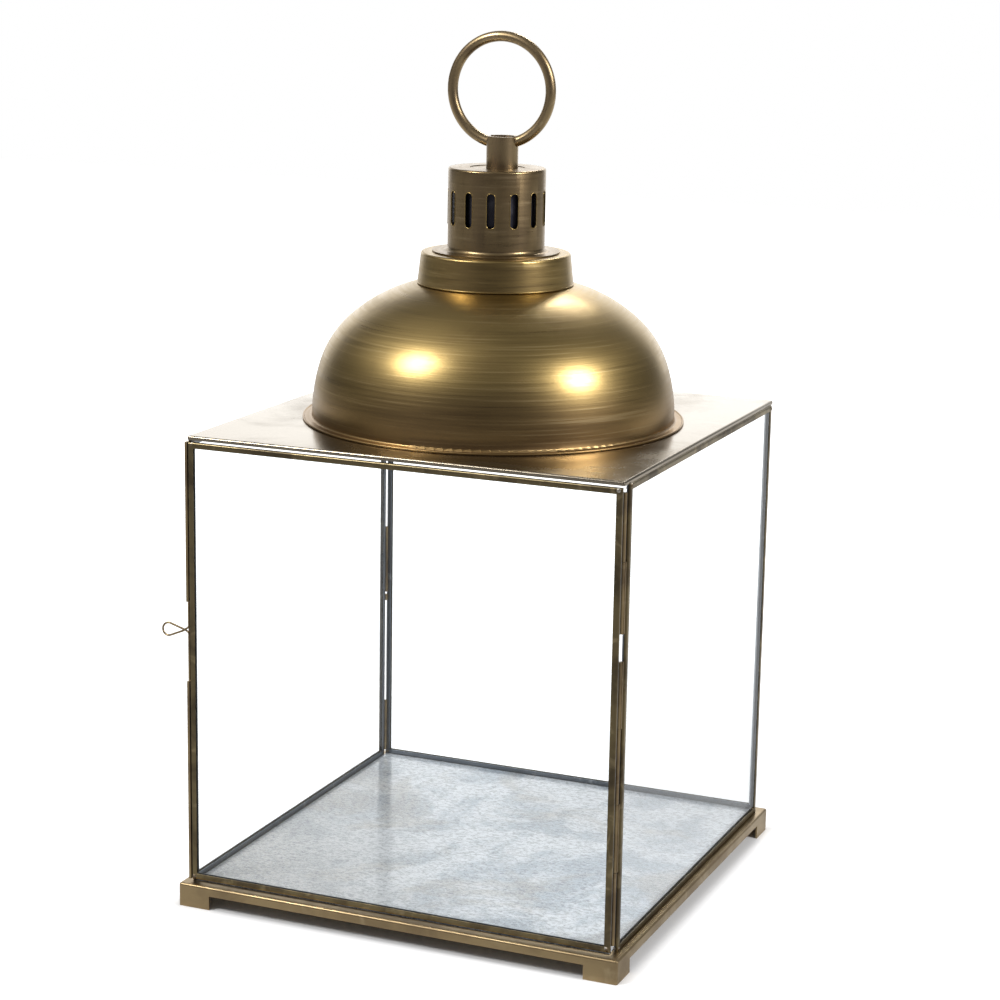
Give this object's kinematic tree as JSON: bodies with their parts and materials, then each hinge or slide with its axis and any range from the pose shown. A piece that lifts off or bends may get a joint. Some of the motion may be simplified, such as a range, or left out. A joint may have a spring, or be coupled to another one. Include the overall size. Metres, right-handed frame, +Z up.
{
  "type": "lantern",
  "caption": "Square brass candle lantern with glass walls, a hinged glass door, a domed roof with a slotted chimney and a fixed carrying ring.",
  "frame": {"origin": "centre of the base on the plane that the feet stand on", "axes": "+Z up; the door is the -Y face, hinged at its +X edge"},
  "size_m": [0.3131, 0.3, 0.5529],
  "materials": {
    "aged_brass": "aged satin",
    "spun_brass": "spun satin",
    "clear_glass": "clear",
    "patinated_zinc": "mottled patina",
    "blackened_sheet": "blackened",
    "steel_pin": "dull wire"
  },
  "bodies": {
    "lantern_body": {"base_plinth": "aged_brass", "roof_plate": "aged_brass", "dome": "spun_brass", "neck_collar": "spun_brass", "vent_chimney": "spun_brass", "ring_stem": "aged_brass", "carry_ring": "aged_brass", "right_top_rail": "aged_brass", "right_bottom_rail": "aged_brass", "right_front_stile": "aged_brass", "right_rear_stile": "aged_brass", "right_hinge_knuckles": "aged_brass", "left_top_rail": "aged_brass", "left_bottom_rail": "aged_brass", "left_front_stile": "aged_brass", "left_rear_stile": "aged_brass", "left_jamb_strip": "aged_brass", "back_top_rail": "aged_brass", "back_bottom_rail": "aged_brass", "back_left_stile": "aged_brass", "back_right_stile": "aged_brass", "upper_hinge_pin": "steel_pin", "lower_hinge_pin": "steel_pin", "rear_left_corner_tubes": "aged_brass", "rear_right_corner_tubes": "aged_brass", "right_glass": "clear_glass", "left_glass": "clear_glass", "back_glass": "clear_glass", "floor_plate": "patinated_zinc", "chimney_baffle": "blackened_sheet"},
    "door": {"door_top_rail": "aged_brass", "door_bottom_rail": "aged_brass", "door_hinge_stile": "aged_brass", "door_pull_stile": "aged_brass", "door_hinge_knuckles": "aged_brass", "door_pull_wire": "aged_brass", "door_glass": "clear_glass"}
  },
  "joints": [
    {"name": "door_hinge", "type": "hinge", "parent": "lantern_body", "child": "door", "pos_m": [0.1424, -0.1389, 0.1599], "axis": [0, 0, 1], "range_deg": [0, 115]}
  ]
}
